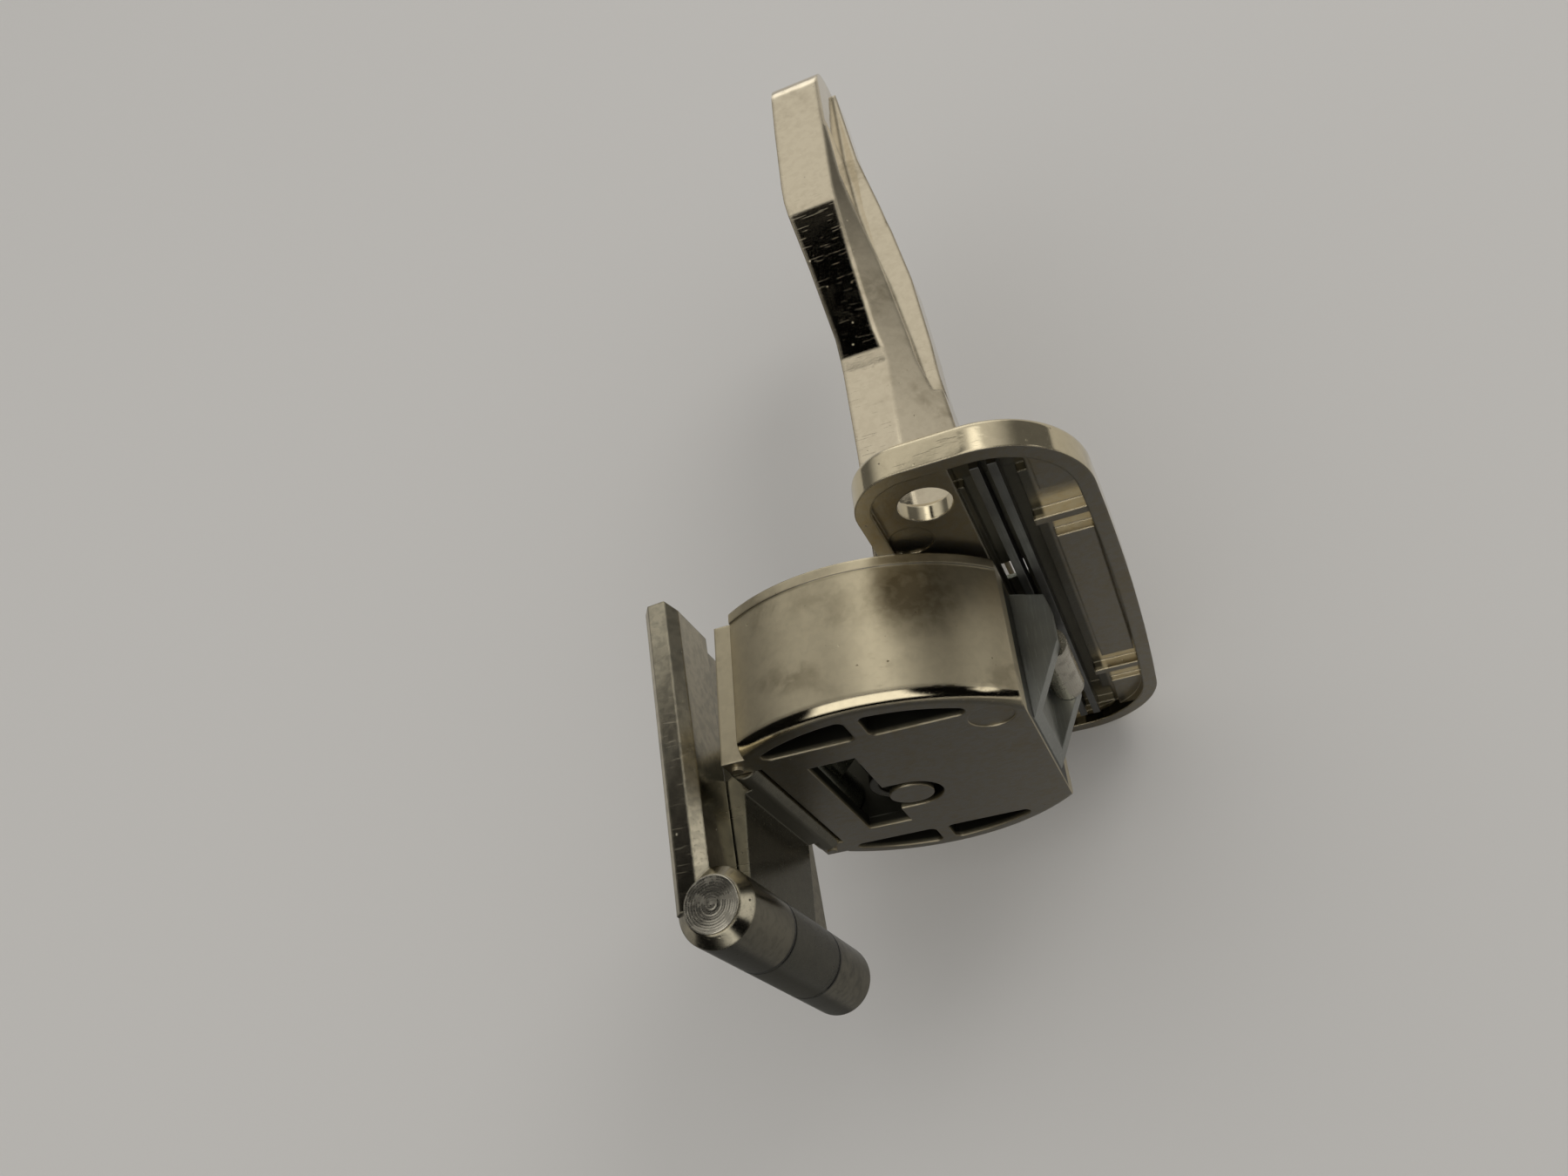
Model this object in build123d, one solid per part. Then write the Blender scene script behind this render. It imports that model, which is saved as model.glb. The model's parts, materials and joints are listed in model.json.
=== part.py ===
from build123d import *
import os
from math import atan2, degrees, hypot

os.makedirs("parts", exist_ok=True)

# Concealed cabinet hinge, shown closed: a cast cup with a screw flange sits in the door, a cast arm
# reaches into the cabinet, and a leaf and a plate on a thick knuckle close off the door edge.
# All sizes are in millimetres. +Z runs along the hinge pins and is up when the hinge is fitted,
# +X goes from the door edge towards the middle of the door, and +Y goes from the door into the
# cabinet. The origin is on the axis of the cup, in the face of the door.

# Cup
CUP_R = 17.5
CUP_DEPTH = 13.0
CUP_EDGE_R = 1.2
EDGE_CHORD_X = 9.9
MIDDLE_CHORD_X = 12.9
FLOOR_T = 1.2
CHANNEL_HALF = 8.6
CHANNEL_WALL_T = 1.2

# Small lip that grips the edge of the bored hole
LIP_STEP = 0.15
LIP_H = 0.9

# Lugs at the door edge that carry the leaf pin
LUG_X = 12.0
LUG_Z = 12.8
PIP_R = 0.5
PIP_H = 0.3
PIP_Z = 11.5

# Pockets and marks in the closed end of the cup
POCKET_R = 15.4
POCKET_CHORD = 11.6
POCKET_SIDE_X = 8.6
POCKET_RIB = 1.2
POCKET_DEPTH = 8.0
POCKET_CORNER_R = 0.7
HATCH_X0 = -6.1
HATCH_X1 = -1.9
HATCH_HALF = 8.3
STOP_X = 0.0
STOP_Z = -2.0
STOP_R = 2.0
STOP_WELL_R = 2.9
STOP_WELL_DEPTH = 1.5
STOP_PAD_R = 3.7
STOP_PAD_H = 2.1
MARK_R = 1.9
MARK_DEPTH = 0.12
CUP_MARK = (10.2, 10.1)
FLANGE_MARK = (7.4, 16.6)

# Flange
FLANGE_EDGE_X = 4.6
FLANGE_MIDDLE_X = 23.1
FLANGE_HALF = 26.8
FLANGE_H = 2.9
FLANGE_SKIN = 1.4
SCREW_LAND_Y = 0.7
SCREW_LAND_X = 12.6
FLANGE_RIM = 1.3
FLANGE_BOW = 0.9
FLANGE_CORNER_R = 8.5
FLANGE_NOSE_R = 4.8
FLANGE_TOP_R = 0.7
SCREW_PITCH = 42.0
SCREW_X = 9.9
SCREW_R = 2.2
SCREW_SINK_R = 3.0
SCREW_SINK_H = 0.8

# Window, pads and ribs under the flange
WINDOW_X0 = 13.1
WINDOW_X1 = 17.2
WINDOW_HALF = 20.6
SLOT_END_X0 = 12.6
SLOT_END_X1 = 18.0
SLOT_END_HALF = 24.3
PAD_X0 = 18.4
PAD_X1 = 21.5
PAD_HALF = 11.6
PAD_H = 0.9
RIB_X0 = 17.2
RIB_Z = 14.3
RIB_W = 0.8
RIB_H = 1.1
END_PAD_Z = 18.4
END_PAD_X0 = 18.4
END_PAD_H = 0.6

# Closing springs, two flat strips on edge
STRIP_T = 0.7
STRIP_H = 2.0
STRIP_X = 14.15
STRIP_STEP = 1.35
STRIP_Y = 0.4
STRIP_END_GAP = 0.2

# Spring saddle beside the cup, and the roller between its cheeks
SADDLE_HALF = 6.0
SADDLE_CHEEK_T = 1.6
SADDLE_BACK_T = 0.6
SADDLE_OUT = 3.2
SADDLE_TOP_Y = -0.3
SADDLE_BEND_Y = -1.1
SADDLE_SHOULDER_Y = -2.4
SADDLE_KNEE_Y = -5.6
SADDLE_TOE_Y = -12.2
SADDLE_TAPER = 0.3
ROLLER_R = 1.5
ROLLER_PIN_R = 0.6
ROLLER_PIN_SEAT = 0.8
ROLLER_AXIS = (15.2, -5.0)

# Linkage: places of the four pivots with the hinge closed, as X and Y
FRONT_CUP_PIVOT = (-2.55, -8.16)
FRONT_ARM_PIVOT = (3.96, 10.95)
EDGE_CUP_PIVOT = (-8.47, -9.16)
EDGE_ARM_PIVOT = (6.23, 5.68)
PIN_R = 1.25
PIN_SEAT = 2.0
RUN_GAP = 0.05
SIDE_GAP = 0.3
OPEN_PIVOT_GAP = 0.9
LINK_BOSS_R = 2.2
LINK_SHANK_HALF = 1.9
EDGE_LINK_HALF = 2.2
EDGE_EYE_WALL = 1.2
FRONT_LINK_T = 1.9

# Leaf, plate and knuckle
LEAF_PIVOT = (-11.1, -12.1)
LEAF_ROLL_R = 1.35
LEAF_PIN_R = 0.6
LEAF_PIN_END = 0.6
LEAF_HALF = 7.6
LEAF_ROLL_HALF = 10.2
LEAF_T = 1.7
LEAF_FACE_X = -12.15
KNUCKLE_AXIS = (-12.6, -24.9)
KNUCKLE_R = 3.25
KNUCKLE_PIN_R = 1.6
KNUCKLE_HEAD_R = 2.15
KNUCKLE_HEAD_H = 0.9
KNUCKLE_DISH = 0.25
KNUCKLE_MIDDLE_HALF = 5.2
KNUCKLE_CHAMFER = 0.9
END_GAP = 0.1
PLATE_HALF = 14.6
PLATE_TOP = 28.2
PLATE_T = 3.0
PLATE_INNER = -0.2
PLATE_LEAN = 4.6
PLATE_CHAMFER = 0.9
PLATE_BACK_CHAMFER = 0.5
RECESS_DEPTH = 1.5

# Arm, a channel open towards the door edge side, with a raised rib along its closed side
ARM_WALL = 1.5
ARM_WEB = 1.5
ARM_CREST_WALL = 1.1
ARM_RIB_HALF = 2.0
ARM_RIB_START = 25.3
ARM_TIP_Y = 79.3
ARM_TIP_RISE = 7.5
ARM_TOE_Y = 3.5
ARM_HEEL_Y = 7.0

# Stations along the arm: Y, half width, X of the open edges, X of the shoulder, X of the land beside
# the rib, X of the rib's top, half width at that height
ARM_STATIONS = (
    (1.0, 6.5, 1.7, 6.9, 13.6, 13.6, 4.5),
    (19.0, 6.5, 1.45, 5.8, 11.2, 11.2, 4.5),
    (29.5, 6.5, 1.15, 5.8, 8.6, 10.1, 4.5),
    (31.5, 6.6, 1.05, 5.55, 8.35, 10.0, 4.5),
    (34.0, 6.9, 0.9, 5.1, 8.05, 9.9, 4.6),
    (44.0, 8.2, -0.6, 4.15, 6.6, 9.1, 5.4),
    (52.0, 9.25, -1.95, 3.55, 5.05, 7.9, 6.2),
    (54.0, 9.42, -2.2, 3.45, 4.75, 7.5, 6.3),
    (56.5, 9.5, -2.3, 3.42, 4.4, 7.1, 6.4),
    (66.0, 9.5, -2.35, 3.4, 3.7, 5.3, 6.8),
    (82.0, 9.5, -2.2, 3.3, 3.4, 3.6, 7.2),
)


def block(x0, x1, y0, y1, z0, z1):
    """A box given by its lowest and highest corner values."""
    size = Box(abs(x1 - x0), abs(y1 - y0), abs(z1 - z0))
    return Pos((x0 + x1) / 2, (y0 + y1) / 2, (z0 + z1) / 2) * size


def rod(centre, radius, z0, z1):
    """A round bar along Z at an (X, Y) place."""
    return Pos(centre[0], centre[1], (z0 + z1) / 2) * Cylinder(radius, z1 - z0)


def both_sides(shape):
    """A shape and its mirror image in the middle plane of the hinge."""
    return shape + mirror(shape, about=Plane.XY)


def across(sketch, y0, y1):
    """Extrudes a sketch whose local axes are X and Z from height y0 to height y1."""
    plane = Plane(origin=(0, y1, 0), x_dir=(1, 0, 0), z_dir=(0, -1, 0))
    return extrude(plane * sketch, amount=y1 - y0)


def along_z(points, z0, z1):
    """Extrudes an outline of (X, Y) points from z0 to z1."""
    return extrude(Plane.XY.offset(z0) * make_face(Polyline(*points, close=True)), amount=z1 - z0)


def upright(centre, radius, y0, y1):
    """A round bar along Y at an (X, Z) place."""
    return across(Pos(centre[0], centre[1]) * Circle(radius), y0, y1)


def write(name, shape):
    export_step(shape, f"parts/{name}.step")


def flange_outline(inset):
    """The D-shaped flange as a sketch in X and Z, moved in by an inset."""
    edge, middle, half = FLANGE_EDGE_X + inset, FLANGE_MIDDLE_X - inset, FLANGE_HALF - inset
    shoulder = middle - FLANGE_BOW
    nose, corner = FLANGE_NOSE_R - inset, FLANGE_CORNER_R - inset
    line = Polyline((shoulder, -half), (edge, -half), (edge, half), (shoulder, half))
    bow = ThreePointArc((shoulder, half), (middle, 0), (shoulder, -half))
    face = make_face(line + bow)
    face = fillet(face.vertices().group_by(Axis.X)[0], nose)
    return fillet(face.vertices().group_by(Axis.X)[-1], corner)


def cup_shell():
    """The outside of the cup: a disc cut by two flats, with lugs at the door edge."""
    width = EDGE_CHORD_X + MIDDLE_CHORD_X
    band = Pos((MIDDLE_CHORD_X - EDGE_CHORD_X) / 2, 0) * Rectangle(width, 2 * CUP_R)
    body = across(Circle(CUP_R - LIP_STEP) & band, -CUP_DEPTH, 0)
    round_edges = body.edges().group_by(Axis.Y)[0].filter_by(GeomType.CIRCLE)
    body = fillet(round_edges, CUP_EDGE_R)
    body += across(Circle(CUP_R) & band, -LIP_H, 0)
    body += block(-LUG_X, -EDGE_CHORD_X + CHANNEL_WALL_T, -CUP_DEPTH, 0, -LUG_Z, LUG_Z)
    return body


def cup_pockets():
    """Four blind crescents that lighten the closed end of the cup."""
    half_rib = POCKET_RIB / 2
    rim = Circle(POCKET_R)
    side = Pos((POCKET_SIDE_X + half_rib) / 2, (POCKET_CHORD + POCKET_R) / 2)
    right = rim & (side * Rectangle(POCKET_SIDE_X - half_rib, POCKET_R - POCKET_CHORD))
    crescent = across(right, -CUP_DEPTH, -CUP_DEPTH + POCKET_DEPTH)
    crescent = fillet(crescent.edges().filter_by(Axis.Y), POCKET_CORNER_R)
    crescent += mirror(crescent, about=Plane.YZ)
    return both_sides(crescent)


def flange():
    """The flange with its rim turned down to the door, its pads, ribs and window."""
    plate = across(flange_outline(0), 0, FLANGE_H)
    top_edges = plate.edges().group_by(Axis.Y)[-1]
    plate = fillet(top_edges, FLANGE_TOP_R)
    skin_y = FLANGE_H - FLANGE_SKIN
    hollow = across(flange_outline(FLANGE_RIM), 0, skin_y)
    hollow -= block(FLANGE_EDGE_X, SCREW_LAND_X, SCREW_LAND_Y, skin_y, -FLANGE_HALF, FLANGE_HALF)
    plate -= hollow
    plate += block(PAD_X0, PAD_X1, skin_y - PAD_H, skin_y, -PAD_HALF, PAD_HALF)
    rib = block(RIB_X0, FLANGE_MIDDLE_X - FLANGE_RIM, skin_y - RIB_H, skin_y, RIB_Z, RIB_Z + RIB_W)
    plate += both_sides(rib)
    corner = across(flange_outline(FLANGE_RIM / 2), skin_y - END_PAD_H, skin_y)
    end_pad = corner & block(END_PAD_X0, FLANGE_MIDDLE_X, 0, FLANGE_H, END_PAD_Z, FLANGE_HALF)
    plate += both_sides(end_pad)
    return plate


def flange_cuts():
    """Everything that goes through the flange: spring window, its wider ends and the screw holes."""
    window = block(WINDOW_X0, WINDOW_X1, 0, FLANGE_H, -WINDOW_HALF, WINDOW_HALF)
    seat = block(SLOT_END_X0, SLOT_END_X1, 0, STRIP_Y + STRIP_H, WINDOW_HALF, SLOT_END_HALF)
    cuts = window + both_sides(seat)
    place = (SCREW_X, SCREW_PITCH / 2)
    hole = upright(place, SCREW_R, 0, FLANGE_H)
    plane = Plane(origin=(SCREW_X, FLANGE_H - SCREW_SINK_H, SCREW_PITCH / 2), z_dir=(0, 1, 0))
    wide = plane.offset(SCREW_SINK_H)
    hole += loft([plane * Circle(SCREW_R), wide * Circle(SCREW_SINK_R)])
    cuts += both_sides(hole)
    return cuts


def linkage_room():
    """The channel that the links swing in, open at the top and at the door edge."""
    wall_x = MIDDLE_CHORD_X - CHANNEL_WALL_T
    floor_y = -CUP_DEPTH + FLOOR_T
    room = block(-LUG_X, wall_x, floor_y, FLANGE_H, -CHANNEL_HALF, CHANNEL_HALF)
    px, py = LEAF_PIVOT
    roll_r = LEAF_ROLL_R + SIDE_GAP
    reach = LEAF_ROLL_HALF + END_GAP
    room += rod(LEAF_PIVOT, roll_r, -reach, reach)
    room += block(-LUG_X, px + roll_r, -CUP_DEPTH, py, -reach, reach)
    room += block(-LUG_X, px, -CUP_DEPTH, py + roll_r, -reach, reach)
    return room


def cup_bottom_openings():
    """The hatch into the channel and the round well beside it."""
    hatch = block(HATCH_X0, HATCH_X1, -CUP_DEPTH, -CUP_DEPTH + FLOOR_T, -HATCH_HALF, HATCH_HALF)
    well = upright((STOP_X, STOP_Z), STOP_WELL_R, -CUP_DEPTH, -CUP_DEPTH + STOP_WELL_DEPTH)
    z0, z1 = STOP_Z - STOP_WELL_R, STOP_Z + STOP_WELL_R
    neck = block(HATCH_X1, STOP_X, -CUP_DEPTH, -CUP_DEPTH + FLOOR_T, z0, z1)
    return hatch + well + neck


def cup_and_flange():
    """The one casting that goes into the door."""
    body = cup_shell() + flange()
    body -= linkage_room()
    body += upright((STOP_X, STOP_Z), STOP_PAD_R, -CUP_DEPTH, -CUP_DEPTH + STOP_PAD_H)
    body -= cup_bottom_openings()
    body += upright((STOP_X, STOP_Z), STOP_R, -CUP_DEPTH, -CUP_DEPTH + STOP_PAD_H)
    body -= cup_pockets()
    body -= flange_cuts()
    for centre in (FRONT_CUP_PIVOT, EDGE_CUP_PIVOT):
        body -= rod(centre, PIN_R, -CHANNEL_HALF - PIN_SEAT, CHANNEL_HALF + PIN_SEAT)
    body -= rod(LEAF_PIVOT, LEAF_PIN_R, -LUG_Z + LEAF_PIN_END, LUG_Z - LEAF_PIN_END)
    window_half = SADDLE_HALF - SADDLE_CHEEK_T
    wall_x = MIDDLE_CHORD_X - CHANNEL_WALL_T
    body -= block(wall_x, MIDDLE_CHORD_X, SADDLE_TOE_Y + FLOOR_T, 0, -window_half, window_half)
    body -= upright(CUP_MARK, MARK_R, -CUP_DEPTH, -CUP_DEPTH + MARK_DEPTH)
    body -= upright(FLANGE_MARK, MARK_R, SCREW_LAND_Y, SCREW_LAND_Y + MARK_DEPTH)
    pip = upright((LEAF_PIVOT[0], PIP_Z), PIP_R, -CUP_DEPTH - PIP_H, -CUP_DEPTH)
    return body + pip + mirror(pip, about=Plane.XY)


def spring_strip(index):
    """One flat closing spring, on edge in the window of the flange."""
    x0 = STRIP_X + index * STRIP_STEP
    reach = SLOT_END_HALF - STRIP_END_GAP
    return block(x0, x0 + STRIP_T, STRIP_Y, STRIP_Y + STRIP_H, -reach, reach)


def spring_saddle():
    """Two bent cheeks on a back, seated on the middle flat of the cup under the springs."""
    x0 = MIDDLE_CHORD_X
    x1 = x0 + SADDLE_OUT
    outline = (
        (x0, SADDLE_TOP_Y),
        (x1 - SADDLE_TAPER, SADDLE_BEND_Y),
        (x1, SADDLE_SHOULDER_Y),
        (x1, SADDLE_KNEE_Y),
        (x0, SADDLE_TOE_Y),
    )
    saddle = along_z(outline, -SADDLE_HALF, SADDLE_HALF)
    inner = SADDLE_HALF - SADDLE_CHEEK_T
    saddle -= block(x0 + SADDLE_BACK_T, x1, SADDLE_TOE_Y, SADDLE_TOP_Y, -inner, inner)
    reach = inner + ROLLER_PIN_SEAT
    return saddle - rod(ROLLER_AXIS, ROLLER_PIN_R, -reach, reach)


def roller():
    """The roller that turns freely between the saddle's cheeks."""
    reach = SADDLE_HALF - SADDLE_CHEEK_T - END_GAP
    bore = rod(ROLLER_AXIS, ROLLER_PIN_R + RUN_GAP, -reach, reach)
    return rod(ROLLER_AXIS, ROLLER_R, -reach, reach) - bore


def roller_pin():
    reach = SADDLE_HALF - SADDLE_CHEEK_T + ROLLER_PIN_SEAT
    return rod(ROLLER_AXIS, ROLLER_PIN_R, -reach, reach)


def link_plate(start, end, z0, z1, start_r, end_r, start_bore, end_bore):
    """A flat link: a boss round each pivot and a shank between them, bored for both pins."""
    dx, dy = end[0] - start[0], end[1] - start[1]
    length = hypot(dx, dy)
    angle = degrees(atan2(dy, dx))
    middle = ((start[0] + end[0]) / 2, (start[1] + end[1]) / 2, (z0 + z1) / 2)
    shank = Location(middle, (0, 0, angle)) * Box(length, 2 * LINK_SHANK_HALF, z1 - z0)
    link = shank + rod(start, start_r, z0, z1) + rod(end, end_r, z0, z1)
    return link - rod(start, start_bore, z0, z1) - rod(end, end_bore, z0, z1)


def front_link():
    """The link on one side of the hinge; its long hub fills the channel up to the cup's wall."""
    z0 = EDGE_LINK_HALF + SIDE_GAP
    z1 = z0 + FRONT_LINK_T
    bore = PIN_R + RUN_GAP
    link = link_plate(FRONT_CUP_PIVOT, FRONT_ARM_PIVOT, z0, z1, LINK_BOSS_R, LINK_BOSS_R, bore, bore)
    hub = rod(FRONT_CUP_PIVOT, LINK_BOSS_R, z1, CHANNEL_HALF - SIDE_GAP)
    return link + (hub - rod(FRONT_CUP_PIVOT, bore, z1, CHANNEL_HALF))


def edge_link():
    """The middle link, from the door edge side of the cup to the toe of the arm."""
    bore = PIN_R + RUN_GAP
    loose = PIN_R + OPEN_PIVOT_GAP
    eye = loose + EDGE_EYE_WALL
    half = EDGE_LINK_HALF
    link = link_plate(EDGE_CUP_PIVOT, EDGE_ARM_PIVOT, -half, half, LINK_BOSS_R, eye, bore, loose)
    hub = rod(EDGE_CUP_PIVOT, LINK_BOSS_R, half, CHANNEL_HALF - SIDE_GAP)
    hub -= rod(EDGE_CUP_PIVOT, bore, half, CHANNEL_HALF)
    return link + both_sides(hub)


def cup_pin(centre):
    reach = CHANNEL_HALF + PIN_SEAT
    return rod(centre, PIN_R, -reach, reach)


def arm_section(station, inner):
    """The arm's outline at one station; the inner one is the hollow of the channel."""
    y, half, low_x, shoulder_x, land_x, top_x, top_half = station
    if inner:
        half -= ARM_WALL
        low_x -= half
        shoulder_x -= ARM_WEB
        top_x = land_x - ARM_WEB
        top_half -= ARM_CREST_WALL
    points = (
        (low_x, half),
        (shoulder_x, half),
        (top_x, top_half),
        (top_x, -top_half),
        (shoulder_x, -half),
        (low_x, -half),
    )
    plane = Plane(origin=(0, y, 0), x_dir=(1, 0, 0), z_dir=(0, -1, 0))
    return plane * make_face(Polyline(*points, close=True))


def arm_plan(inset):
    """A straight slab with a half-elliptic tip, seen along X, as tall as the arm."""
    half = ARM_STATIONS[-1][1] - inset
    straight = ARM_TIP_Y - ARM_TIP_RISE
    reach = 2 * CUP_R
    plan = Pos(straight / 2, 0) * Rectangle(straight, 2 * half) + Pos(straight, 0) * Ellipse(
        ARM_TIP_RISE - inset, half
    )
    plane = Plane(origin=(0, 0, 0), x_dir=(0, 1, 0), z_dir=(1, 0, 0))
    return extrude(plane * plan, amount=reach, both=True)


def beside_rib():
    """What is taken off the arm on both sides of its rib, down to the land."""
    lands = [(station[4], station[0]) for station in ARM_STATIONS if station[0] > ARM_RIB_START]
    (x0, y0), (x1, y1) = (
        (station[4], station[0]) for station in (ARM_STATIONS[1], ARM_STATIONS[2])
    )
    start_x = x0 + (x1 - x0) * (ARM_RIB_START - y0) / (y1 - y0)
    outline = [(start_x, ARM_RIB_START), *lands, (CUP_R, ARM_STATIONS[-1][0]), (CUP_R, ARM_RIB_START)]
    return both_sides(along_z(outline, ARM_RIB_HALF, CUP_R))


def arm():
    """The cast arm: lofted channel with its rib, rounded tip, and a toe that takes the link pins."""
    solid = loft([arm_section(s, False) for s in ARM_STATIONS], ruled=True)
    hollow = loft([arm_section(s, True) for s in ARM_STATIONS], ruled=True)
    solid -= beside_rib()
    solid &= arm_plan(0)
    hollow &= arm_plan(ARM_WALL)
    body = solid - hollow
    half, low_x, crest_x = ARM_STATIONS[0][1], ARM_STATIONS[0][2], ARM_STATIONS[0][5]
    below = (
        (low_x - half, 0),
        (crest_x + half, 0),
        (crest_x + half, ARM_HEEL_Y),
        (EDGE_ARM_PIVOT[0] + 2 * LINK_BOSS_R, ARM_HEEL_Y),
        (EDGE_ARM_PIVOT[0] + LINK_BOSS_R, ARM_TOE_Y),
        (FRONT_ARM_PIVOT[0], ARM_TOE_Y),
        (low_x - half, FRONT_ARM_PIVOT[1]),
    )
    body -= along_z(below, -2 * half, 2 * half)
    for centre in (FRONT_ARM_PIVOT, EDGE_ARM_PIVOT):
        body -= rod(centre, PIN_R, -2 * half, 2 * half)
    return body


def arm_pin(centre):
    reach = ARM_STATIONS[0][1] - END_GAP
    return rod(centre, PIN_R, -reach, reach)


def leaf():
    """The narrow leaf between the door edge and the middle knuckle."""
    px, py = LEAF_PIVOT
    kx, ky = KNUCKLE_AXIS
    back_x = LEAF_FACE_X - LEAF_T
    low_y = ky + KNUCKLE_R + 2 * SIDE_GAP
    body = block(back_x, LEAF_FACE_X, low_y, py, -LEAF_HALF, LEAF_HALF)
    neck = ((back_x, py), (px, py + LEAF_ROLL_R), (px, py - LEAF_ROLL_R), (back_x, py - LEAF_T))
    body += along_z(neck, -LEAF_HALF, LEAF_HALF)
    body += rod(LEAF_PIVOT, LEAF_ROLL_R, -LEAF_ROLL_HALF, LEAF_ROLL_HALF)
    middle = KNUCKLE_MIDDLE_HALF
    body += block(back_x, LEAF_FACE_X, ky, low_y, -middle, middle)
    body += rod(KNUCKLE_AXIS, KNUCKLE_R, -middle, middle)
    body -= rod(KNUCKLE_AXIS, KNUCKLE_PIN_R + RUN_GAP, -middle, middle)
    return body - rod(LEAF_PIVOT, LEAF_PIN_R + RUN_GAP, -LEAF_ROLL_HALF, LEAF_ROLL_HALF)


def leaf_pin():
    reach = LUG_Z - LEAF_PIN_END
    return rod(LEAF_PIVOT, LEAF_PIN_R, -reach, reach)


def edge_plate():
    """The wide plate with the two end knuckles, worked out upright on the knuckle axis and then
    leaned back."""
    back = PLATE_INNER - PLATE_T
    slab = block(back, PLATE_INNER, 0, PLATE_TOP, -PLATE_HALF, PLATE_HALF)
    front_edges = slab.edges().group_by(Axis.X)[-1]
    slab = chamfer(front_edges.filter_by(Axis.Y) + front_edges.group_by(Axis.Y)[-1], PLATE_CHAMFER)
    back_edges = slab.edges().group_by(Axis.X)[0]
    slab = chamfer(back_edges.filter_by(Axis.Y) + back_edges.group_by(Axis.Y)[-1], PLATE_BACK_CHAMFER)
    clear_r = KNUCKLE_R + SIDE_GAP
    gap_half = LEAF_HALF + SIDE_GAP
    slab -= block(PLATE_INNER - RECESS_DEPTH, PLATE_INNER, clear_r, PLATE_TOP, -gap_half, gap_half)
    knuckle = Cylinder(KNUCKLE_R, 2 * PLATE_HALF)
    knuckle = chamfer(knuckle.edges().filter_by(GeomType.CIRCLE), KNUCKLE_CHAMFER)
    plate = slab + knuckle
    middle = KNUCKLE_MIDDLE_HALF + END_GAP
    plate -= block(-2 * KNUCKLE_R, 2 * KNUCKLE_R, -2 * KNUCKLE_R, clear_r, -middle, middle)
    plate -= Cylinder(KNUCKLE_PIN_R, 2 * PLATE_HALF)
    head = Pos(0, 0, PLATE_HALF - KNUCKLE_HEAD_H / 2) * Cylinder(KNUCKLE_HEAD_R, KNUCKLE_HEAD_H)
    plate -= both_sides(head)
    return Location((KNUCKLE_AXIS[0], KNUCKLE_AXIS[1], 0), (0, 0, PLATE_LEAN)) * plate


def knuckle_pin():
    """The hinge pin, spun out and dished at both ends."""
    pin = Cylinder(KNUCKLE_PIN_R, 2 * PLATE_HALF)
    head = Pos(0, 0, PLATE_HALF - KNUCKLE_HEAD_H / 2) * Cylinder(KNUCKLE_HEAD_R, KNUCKLE_HEAD_H)
    ball_r = (KNUCKLE_PIN_R**2 + KNUCKLE_DISH**2) / (2 * KNUCKLE_DISH)
    dish = Pos(0, 0, PLATE_HALF - KNUCKLE_DISH + ball_r) * Sphere(ball_r)
    pin = pin + both_sides(head) - both_sides(dish)
    return Pos(KNUCKLE_AXIS[0], KNUCKLE_AXIS[1], 0) * pin


write("cup_and_flange", cup_and_flange())
write("spring_strip_inner", spring_strip(0))
write("spring_strip_outer", spring_strip(1))
write("spring_saddle", spring_saddle())
write("roller", roller())
write("roller_pin", roller_pin())
write("front_link_cup_pin", cup_pin(FRONT_CUP_PIVOT))
write("edge_link_cup_pin", cup_pin(EDGE_CUP_PIVOT))
write("leaf_pin", leaf_pin())
write("front_link_near", front_link())
write("front_link_far", mirror(front_link(), about=Plane.XY))
write("edge_link", edge_link())
write("arm", arm())
write("front_link_arm_pin", arm_pin(FRONT_ARM_PIVOT))
write("edge_link_arm_pin", arm_pin(EDGE_ARM_PIVOT))
write("leaf", leaf())
write("edge_plate", edge_plate())
write("knuckle_pin", knuckle_pin())
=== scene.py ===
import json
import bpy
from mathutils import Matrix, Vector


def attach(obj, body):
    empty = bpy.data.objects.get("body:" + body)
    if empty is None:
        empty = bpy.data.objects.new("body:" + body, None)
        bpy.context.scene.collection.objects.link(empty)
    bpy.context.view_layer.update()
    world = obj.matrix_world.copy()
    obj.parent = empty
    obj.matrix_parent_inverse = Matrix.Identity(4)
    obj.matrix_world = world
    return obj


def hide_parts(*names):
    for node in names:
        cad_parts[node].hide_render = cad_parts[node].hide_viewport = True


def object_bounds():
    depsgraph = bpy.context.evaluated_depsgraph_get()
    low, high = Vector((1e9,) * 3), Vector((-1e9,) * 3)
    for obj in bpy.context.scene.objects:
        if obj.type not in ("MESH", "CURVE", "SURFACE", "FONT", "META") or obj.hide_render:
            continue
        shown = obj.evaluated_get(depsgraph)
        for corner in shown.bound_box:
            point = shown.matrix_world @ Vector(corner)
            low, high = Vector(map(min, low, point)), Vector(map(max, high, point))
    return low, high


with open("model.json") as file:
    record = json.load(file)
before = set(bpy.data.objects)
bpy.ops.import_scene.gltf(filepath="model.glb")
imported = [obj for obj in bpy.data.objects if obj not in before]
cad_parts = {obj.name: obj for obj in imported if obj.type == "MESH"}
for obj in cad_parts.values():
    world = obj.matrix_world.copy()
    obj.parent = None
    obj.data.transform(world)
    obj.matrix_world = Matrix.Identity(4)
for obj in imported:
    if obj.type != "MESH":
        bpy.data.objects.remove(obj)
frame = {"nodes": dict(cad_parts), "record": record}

# %% [markdown]
# The frame holds every solid of the hinge as a mesh, in metres. Its box is kept now.

# %% Start: the hinge as it comes from the model
from types import SimpleNamespace

import bpy
import numpy as np
from mathutils import Matrix, Vector

MM = 0.001
cad_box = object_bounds()
low, high = cad_box
print("hinge box in mm", [round(c / MM, 1) for c in (*low, *high)])

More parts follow.
